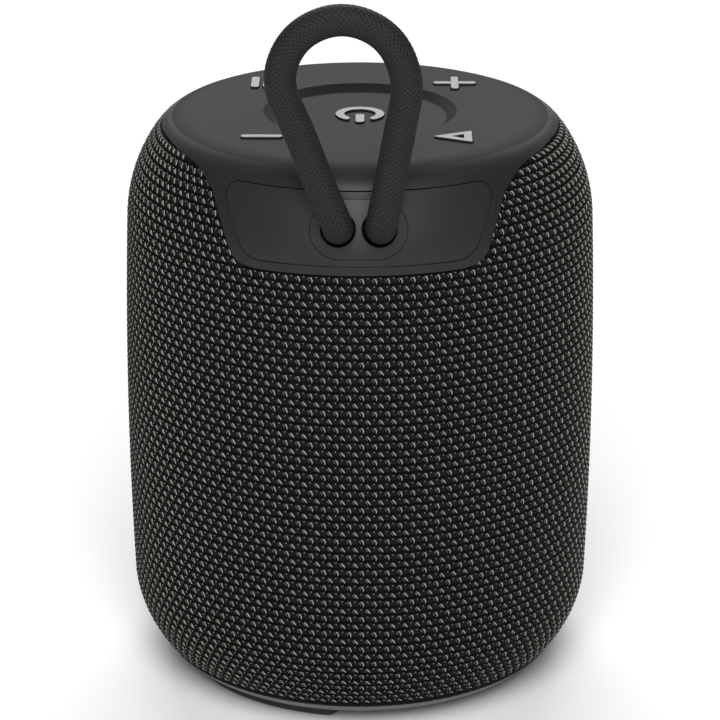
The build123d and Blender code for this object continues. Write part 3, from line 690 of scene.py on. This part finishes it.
    def stitches(self, band: int) -> bpy.types.Object:
        """Make the light stitches of one band, one wedge of them copied round the barrel.

        Args:
            band: the band's number, counted from the top.

        Returns:
            The piece, with its tone stored on its points.
        """
        first, last = band * self.rows // self.bands, (band + 1) * self.rows // self.bands
        bm = bmesh.new()
        tone = bm.verts.layers.float.new("tone")
        home = bm.verts.layers.float_vector.new("home")
        for row in range(first, last):
            down = (row + 0.5) * self.pitch + self.row_phase
            angle = self.turn_phase + (self.turn / 2 if row % 2 else 0.0)
            radius = self.side.radius(down)
            if down + 0.5 * self.pitch > self.side.length:
                continue
            for strand in (self.odd_stitch if row % 2 else self.even_stitch):
                for vert in self.lay(bm, strand, down, angle):
                    vert[tone] = strand.tone
                    vert[home] = Vector((down, angle + strand.across * MM / radius, 0))
        bmesh.ops.recalc_face_normals(bm, faces=bm.faces)
        wedge = bm.verts[:] + bm.edges[:] + bm.faces[:]
        spin(bm, wedge, self.turn * (self.around - 1), self.around - 1, copies=True)
        places = np.array([v.co for v in bm.verts])
        homes = np.array([v[home] for v in bm.verts])
        turns = np.round((np.arctan2(places[:, 0], -places[:, 1]) - homes[:, 1]) / self.turn)
        middles = self.side.place(homes[:, 0], homes[:, 1] + turns * self.turn, np.zeros(len(homes)))
        inside = self.under_apron(middles, -self.stitch_margin)
        hidden = [v for v, cut in zip(bm.verts[:], inside) if cut]
        bmesh.ops.delete(bm, geom=hidden, context="VERTS")
        bm.verts.layers.float_vector.remove(bm.verts.layers.float_vector["home"])
        return new_piece(f"sleeve_stitches_{band + 1}", bm)

    def build(self) -> None:
        """Make the whole sleeve in place of its plain solid."""
        for band in range(self.bands):
            for piece, finish in ((self.ground(band), Finish.GROUND_YARN),
                                  (self.stitches(band), Finish.STITCH_YARN)):
                finish_piece(piece, finish, "cloth", "fabric_sleeve")
                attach(piece, "housing")


# ---------------------------------------------------------------- carry loop

@dataclass
class CarryLoop:
    """Braided rope whose two ends go into the strap plate.

    Args:
        radius: from the centre line to the middle of the braid's relief.
        relief: depth of the braid.
        carriers: yarns round the rope.
        stroke: length along the rope that one yarn takes to cross another.
        around: mesh faces round the rope.
        step: length of a mesh face.
        hole_x: middle of each hole, in millimetres.
        end_in: length of rope behind the plate's face, in millimetres.
        throat: length behind the face where the rope begins to bend, in millimetres.
        bend_out: length out of the plate where the rope turns upwards, in millimetres.
        bend_half: not used.
        crown: height of the braid's crowns over the radius; not used.
        rest_in_hole: shift to the right and up of the rope in each hole, in millimetres.
        route: the rest of the route as (x, height over the seam), in millimetres.
    """

    radius: float = 2.68 * MM
    relief: float = 0.17 * MM
    carriers: int = 16
    stroke: float = 0.82 * MM
    around: int = 128
    step: float = 0.22 * MM
    hole_x: float = 3.6
    end_in: float = 9.0
    throat: float = 2.0
    bend_out: float = 5.7
    bend_half: float = 2.6 * MM
    crown: float = 0.07 * MM
    rest_in_hole: dict = field(default_factory=lambda: {-1: (0.0, 0.2), 1: (0.25, 0.25)})
    route: tuple = (
        (-6.5, 0.5), (-10.5, 11.5), (-14.1, 19.2), (-10.75, 27.25), (-2.75, 30.6),
        (5.25, 27.25), (8.7, 19.2), (7.1, 11.0), (5.35, 1.0),
    )

    def on_normal(self, side: int, out: float) -> Vector:
        """Find a point on the rope's line in one hole.

        Args:
            side: -1 for the left hole, 1 for the right one, 0 for midway.
            out: length out of the plate's face, in millimetres.

        Returns:
            The point, in metres.
        """
        right, up = self.rest_in_hole.get(side, (0.0, 0.0))
        y = PLATE_POINT[0] - math.cos(PLATE_LEAN) * out + math.sin(PLATE_LEAN) * up
        z = PLATE_POINT[1] + math.sin(PLATE_LEAN) * out + math.cos(PLATE_LEAN) * up
        return Vector((side * self.hole_x + right, y, z)) * MM

    def line(self) -> list[Vector]:
        """Centre line, read from the route's spline."""
        bend_y = self.on_normal(0, self.bend_out).y / MM
        outs = (-self.end_in, -self.throat, self.bend_out)
        points = [self.on_normal(-1, out) for out in outs]
        points += [Vector((x, bend_y, SEAM_Z + z)) * MM for x, z in self.route]
        points += [self.on_normal(1, out) for out in reversed(outs)]
        curve = bpy.data.curves.new("rope_route", "CURVE")
        curve.dimensions = "3D"
        spline = curve.splines.new("NURBS")
        spline.points.add(len(points) - 1)
        for place, point in zip(spline.points, points):
            place.co = (*point, 1.0)
        spline.order_u = 3
        spline.use_endpoint_u = True
        spline.resolution_u = 24
        holder = bpy.data.objects.new("rope_route", curve)
        bpy.context.scene.collection.objects.link(holder)
        bpy.context.view_layer.update()
        mesh = evaluated_mesh(holder)
        line = [v.co.copy() for v in mesh.vertices]
        bpy.data.objects.remove(holder)
        bpy.data.meshes.remove(mesh)
        return line

    def braid(self, along: float, angle: float) -> Point2:
        """Shape the braid.

        Args:
            along: length along the rope.
            angle: turn round it, in radians.

        Returns:
            Height, and tone that paints shade into the braid's hollows and light onto its ridges, each
            from 0 to 1.
        """
        first = along / self.stroke + angle * self.carriers / (2 * math.pi)
        second = along / self.stroke - angle * self.carriers / (2 * math.pi)
        over = (math.floor(first) - math.floor(second)) % 4 < 2
        lane = first if over else second
        other = second if over else first
        ridge = math.sin(math.pi * (lane % 1.0)) ** 0.7
        span = math.sin(math.pi * (other % 1.0)) ** 0.4
        # The tone follows the height: painted shade in the braid's hollows, painted light on its
        # ridges.
        return ridge * (0.55 + 0.45 * span), ridge * (0.5 + 0.5 * span)

    def frames(self, line: list[Vector]) -> list[tuple[Vector, Vector, Vector]]:
        """Set directions along a line that turn as little as they can.

        Args:
            line: its points.

        Returns:
            Each point with two directions square to the line.
        """
        across = Vector((1, 0, 0))
        made = []
        for i, point in enumerate(line):
            ahead = (line[min(i + 1, len(line) - 1)] - line[max(i - 1, 0)]).normalized()
            across = (across - ahead * across.dot(ahead)).normalized()
            made.append((point, across.copy(), ahead.cross(across)))
        return made

    def build(self) -> None:
        """Make the rope in place of its plain solids."""
        line = self.line()
        reach = np.r_[0, np.cumsum([(b - a).length for a, b in zip(line, line[1:])])]
        rings = int(reach[-1] / self.step)
        places = np.array(line)
        even = [Vector([np.interp(reach[-1] * i / rings, reach, places[:, k]) for k in range(3)])
                for i in range(rings + 1)]
        frames = self.frames(even)
        bm = bmesh.new()
        bmesh.ops.create_grid(bm, x_segments=rings, y_segments=self.around, size=1.0)
        tone = bm.verts.layers.float.new("tone")
        for vert in bm.verts:
            i = round((vert.co.x + 1) / 2 * rings)
            angle = (vert.co.y + 1) * math.pi
            height, shade = self.braid(reach[-1] * i / rings, angle)
            point, a, b = frames[i]
            size = self.radius - self.relief / 2 + self.relief * height
            vert.co = point + (a * math.cos(angle) + b * math.sin(angle)) * size
            # Painted shade and highlight of the braid, read by the yarn's colour.
            vert[tone] = shade
        bmesh.ops.remove_doubles(bm, verts=bm.verts, dist=0.001 * MM)
        ends = [e for e in bm.edges if e.is_boundary]
        bmesh.ops.holes_fill(bm, edges=ends, sides=0)
        bmesh.ops.recalc_face_normals(bm, faces=bm.faces)
        piece = new_piece("carry_rope", bm)
        finish_piece(piece, Finish.ROPE_YARN, "rope", "carry_loop", "loop_end_left", "loop_end_right")
        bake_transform(piece)


# ---------------------------------------------------------------- port cover

@dataclass
class PortCover:
    """Rubber cover over the sockets: two half skins, each from a middle round the strap plate out to
    its rim.

    Args:
        side: the barrel's side.
        skin: how near to the barrel's side a moulded point has to be to lie on it.
        thick: thickness of the rubber.
        wing_x: where each wing begins; not used.
        bend_half: not used.
        fixed_x: where the rim's own line begins, clear of the middle.
        rim_clearance: moulded points nearer to the middle than this past fixed_x are not on the rim.
        columns: mesh columns of one half.
        lines: mesh lines of one half.
        groove_x: half width of the nail groove.
        groove_z: height of the groove's lower edge.
        groove_depth: depth of the groove at its lower edge.
        groove_way: which way the groove's floor sinks.
        groove_rise: share of the depth that is lost by the cover's upper rim.
        groove_walls: offsets of the two lines that make the groove's side wall.
        groove_step: height of the groove's lower wall.
        groove_edge: how far under the lower edge a point still sinks, as a share of the height.
        plate: length and width of the hole round the strap plate, in millimetres.
        plate_depth: how far the hole's cutter reaches in and out of the plate's face.
        sharp: angle from which an edge shades sharp.
    """

    side: Side
    skin: float = 0.03 * MM
    thick: float = 1.3 * MM
    wing_x: float = 11.5 * MM
    bend_half: float = 1.1 * MM
    fixed_x: float = 14.0 * MM
    rim_clearance: float = 2 * MM
    columns: int = 56
    lines: int = 64
    groove_x: float = 6.0 * MM
    groove_z: float = 102.3 * MM
    groove_depth: float = 0.45 * MM
    groove_way: tuple = (0, 0.86, -0.5)
    groove_rise: float = 0.8
    groove_walls: tuple = (0.02 * MM, 0.14 * MM)
    groove_step: float = 0.12 * MM
    groove_edge: float = 0.02
    plate: tuple = (17.2, 10.55)
    plate_depth: float = 4 * MM
    sharp: float = math.radians(35)

    def __post_init__(self) -> None:
        """Read the rim from the moulded wing, as half angles by length down the side."""
        verts = np.array([v.co for v in frame["nodes"]["port_wing_right"].data.vertices])
        radii = np.interp(-verts[:, 2], -self.side.heights, self.side.radii)
        on_skin = np.abs(np.hypot(verts[:, 0], verts[:, 1]) - radii) < self.skin
        skin = verts[on_skin & (verts[:, 0] > self.fixed_x + self.rim_clearance)]
        downs = np.interp(-skin[:, 2], -self.side.heights, self.side.reach)
        widest: dict[float, float] = {}
        for down, angle in zip(np.round(downs, 5), np.arctan2(skin[:, 0], -skin[:, 1])):
            widest[down] = max(angle, widest.get(down, 0.0))
        rim: list[tuple[float, float]] = []
        for spot in sorted(widest.items()):
            while len(rim) > 1 and self.turns_out(rim[-2], rim[-1], spot):
                rim.pop()
            rim.append(spot)
        self.rim_downs, self.rim_angles = (np.array(column) for column in zip(*rim))

    @staticmethod
    def turns_out(a: Point2, b: Point2, c: Point2) -> bool:
        """Whether b lies inside the line from a to c."""
        return (b[1] - a[1]) * (c[0] - a[0]) <= (c[1] - a[1]) * (b[0] - a[0])

    def half(self, sign: int, name: str) -> bpy.types.Object:
        """Make one half skin, from the middle out to its rim.

        Args:
            sign: -1 for the left half, 1 for the right one.
            name: the piece's name.

        Returns:
            The piece, with its thickness as a modifier.
        """
        top, low = self.rim_downs[0], self.rim_downs[-1]
        bm = bmesh.new()
        bmesh.ops.create_grid(bm, x_segments=self.columns, y_segments=self.lines, size=1.0)
        for vert in bm.verts:
            u = (vert.co.x + 1) / 2
            down = top + (low - top) * (1 - math.cos((vert.co.y + 1) / 2 * math.pi)) / 2
            radius = self.side.at(down, 0.0).xy.length
            fixed = self.fixed_x / radius
            edge = float(np.interp(down, self.rim_downs, self.rim_angles))
            angle = 2 * u * fixed if u <= 0.5 else fixed + (2 * u - 1) * (edge - fixed)
            vert.co = self.side.at(down, sign * angle)
        self.press_groove(bm, sign)
        bmesh.ops.recalc_face_normals(bm, faces=bm.faces)
        if sum(f.normal.y for f in bm.faces) > 0:
            bmesh.ops.reverse_faces(bm, faces=bm.faces)
        piece = new_piece(name, bm)
        solid = piece.modifiers.new("thickness", "SOLIDIFY")
        solid.thickness, solid.offset, solid.use_even_offset = self.thick, -1.0, True
        return piece

    def press_groove(self, bm: bmesh.types.BMesh, sign: int) -> None:
        """Sink the nail groove into a half skin, deepest at its lower edge.

        Args:
            bm: the half skin.
            sign: -1 for the left half, 1 for the right one.
        """
        lines = [((sign * (self.groove_x + wall), 0, 0), (1, 0, 0)) for wall in self.groove_walls]
        lines += [((0, 0, self.groove_z - step), (0, 0, 1)) for step in (0.0, self.groove_step)]
        for place, normal in lines:
            bmesh.ops.bisect_plane(bm, geom=bm.verts[:] + bm.edges[:] + bm.faces[:],
                                   plane_co=place, plane_no=normal)
        brim = max(v.co.z for v in bm.verts)
        middle = sum(self.groove_walls) / 2
        for vert in bm.verts:
            rise = (vert.co.z - self.groove_z) / (brim - self.groove_z)
            if abs(vert.co.x) < self.groove_x + middle and rise > -self.groove_edge:
                depth = self.groove_depth * (1 - self.groove_rise * rise)
                vert.co += Vector(self.groove_way) * depth

    def cutter(self) -> bpy.types.Object:
        """Oval prism of the strap plate's hole."""
        length, width = self.plate
        bm = bmesh.new()
        bmesh.ops.create_circle(bm, cap_ends=True, segments=66, radius=width / 2 * MM)
        for vert in bm.verts:
            vert.co.x += math.copysign((length - width) / 2 * MM, vert.co.x)
        right = Vector((1, 0, 0))
        basis = Matrix((right, PLATE_NORMAL.cross(right), PLATE_NORMAL)).transposed().to_4x4()
        start = Vector((0, *PLATE_POINT)) * MM - PLATE_NORMAL * self.plate_depth
        place = Matrix.Translation(start) @ basis
        bmesh.ops.transform(bm, matrix=place, verts=bm.verts)
        made = bmesh.ops.extrude_face_region(bm, geom=bm.faces[:])
        grown = [v for v in made["geom"] if isinstance(v, bmesh.types.BMVert)]
        bmesh.ops.translate(bm, verts=grown, vec=PLATE_NORMAL * 2 * self.plate_depth)
        bmesh.ops.recalc_face_normals(bm, faces=bm.faces)
        return new_piece("plate_cutter", bm, smooth=False)

    def build(self) -> None:
        """Make both half skins in place of the cover and its wings."""
        cutter = self.cutter()
        for sign, name in ((-1, "left"), (1, "right")):
            piece = self.half(sign, f"port_skin_{name}")
            cut = piece.modifiers.new("plate_hole", "BOOLEAN")
            cut.operation, cut.solver, cut.object = "DIFFERENCE", "MANIFOLD", cutter
            settle(piece)
            piece.data.set_sharp_from_angle(angle=self.sharp)
            finish_piece(piece, Finish.PORT_RUBBER, "port_rubber", "port_cover", f"port_wing_{name}")
            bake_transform(piece)
        bpy.data.objects.remove(cutter)


# ---------------------------------------------------------------- carried-over pieces

@dataclass
class HardParts:
    """Finishes of the pieces whose CAD shape shows as it is, or lies inside."""

    finishes: dict = field(default_factory=lambda: {
        "soft_cover": Finish.SOFT_COVER, "key_symbol": Finish.RIM_KEY, "cap_plastic": Finish.CAP,
        "strap_plate": Finish.PORT_RUBBER, "base_plastic": Finish.BASE, "foot_rubber": Finish.FOOT,
        "inner_plastic": Finish.INNER, "steel": Finish.STEEL, "magnet": Finish.MAGNET,
        "cone_paper": Finish.CONE, "surround_rubber": Finish.SURROUND, "coil": Finish.COIL,
        "spider_cloth": Finish.SPIDER, "board": Finish.BOARD, "chip": Finish.CHIP,
        "battery_wrap": Finish.BATTERY, "cloth": Finish.GROUND_YARN, "rope": Finish.ROPE_YARN,
        "port_rubber": Finish.PORT_RUBBER,
    })

    def build(self) -> None:
        """Paint every CAD node by its record slot."""
        slots = {s["node"]: s["material_slot"] for s in frame["record"]["subparts"]}
        for name, node in frame["nodes"].items():
            paint(node, self.finishes[slots[name]])
        paint(frame["nodes"]["key_power"], Finish.DISH_KEY)


# ---------------------------------------------------------------- studio

def facing(place: tuple, aim: tuple) -> Euler:
    """Rotation of a lamp or camera that looks from a place at another."""
    return (Vector(aim) - Vector(place)).to_track_quat("-Z", "Y").to_euler()


@dataclass
class Softbox:
    """One soft rectangular light."""

    name: str
    place: tuple
    aim: tuple
    size: tuple
    power: float

    def build(self) -> None:
        """Hang the light."""
        data = bpy.data.lights.new(self.name, "AREA")
        data.shape, data.size, data.size_y = "RECTANGLE", self.size[0], self.size[1]
        data.energy = self.power
        lamp = bpy.data.objects.new(self.name, data)
        lamp.location = self.place
        lamp.rotation_euler = facing(self.place, self.aim)
        bpy.context.scene.collection.objects.link(lamp)


@dataclass
class Studio:
    """Pale floor, soft lights and the camera."""

    eye: tuple = (0.0032, -0.5714, 0.2753)
    look: tuple = (0.0, 0.0, 0.0581)
    lens: float = 161.45
    world: float = 0.14
    floor_radius: float = 4.0
    floor_drop: float = 0.2 * MM
    paper: float = 0.94
    paper_roughness: float = 0.9
    boxes: tuple = (
        Softbox("front_box", (0.0, -1.1, 1.25), (0.0, 0.0, 0.06), (0.8, 1.5), 27.0),
        Softbox("far_box", (0.0, 1.5, 1.1), (0.0, 0.3, 0.0), (1.5, 1.0), 25.0),
    )

    def build(self) -> None:
        """Set up everything round the object."""
        bm = bmesh.new()
        bmesh.ops.create_circle(bm, cap_ends=True, segments=96, radius=self.floor_radius)
        floor = new_piece("floor", bm, smooth=False)
        floor.location.z = -self.floor_drop
        book = NodeBook("floor_paper")
        book.shader.inputs["Base Color"].default_value = (*[self.paper] * 3, 1)
        book.shader.inputs["Roughness"].default_value = self.paper_roughness
        floor.data.materials.append(book.material)
        world = bpy.data.worlds.new("studio")
        world.use_nodes = True
        world.node_tree.nodes["Background"].inputs[0].default_value = (1, 1, 1, 1)
        world.node_tree.nodes["Background"].inputs[1].default_value = self.world
        bpy.context.scene.world = world
        for softbox in self.boxes:
            softbox.build()
        data = bpy.data.cameras.new("camera")
        data.lens, data.sensor_width, data.clip_start = self.lens, 36.0, 0.01
        camera = bpy.data.objects.new("camera", data)
        camera.location = self.eye
        camera.rotation_euler = facing(self.eye, self.look)
        bpy.context.scene.collection.objects.link(camera)
        bpy.context.scene.camera = camera
        bpy.context.scene.view_settings.view_transform = "Standard"


def main() -> None:
    """Build the studio and the speaker, in order."""
    logging.basicConfig(level=logging.INFO, format="%(message)s")
    Studio().build()
    CarryLoop().build()
    side = Side(Outline(), CLOTH_TOP_Z)
    HardParts().build()
    Sleeve(side).build()
    PortCover(side).build()


if __name__ == "__main__":
    main()
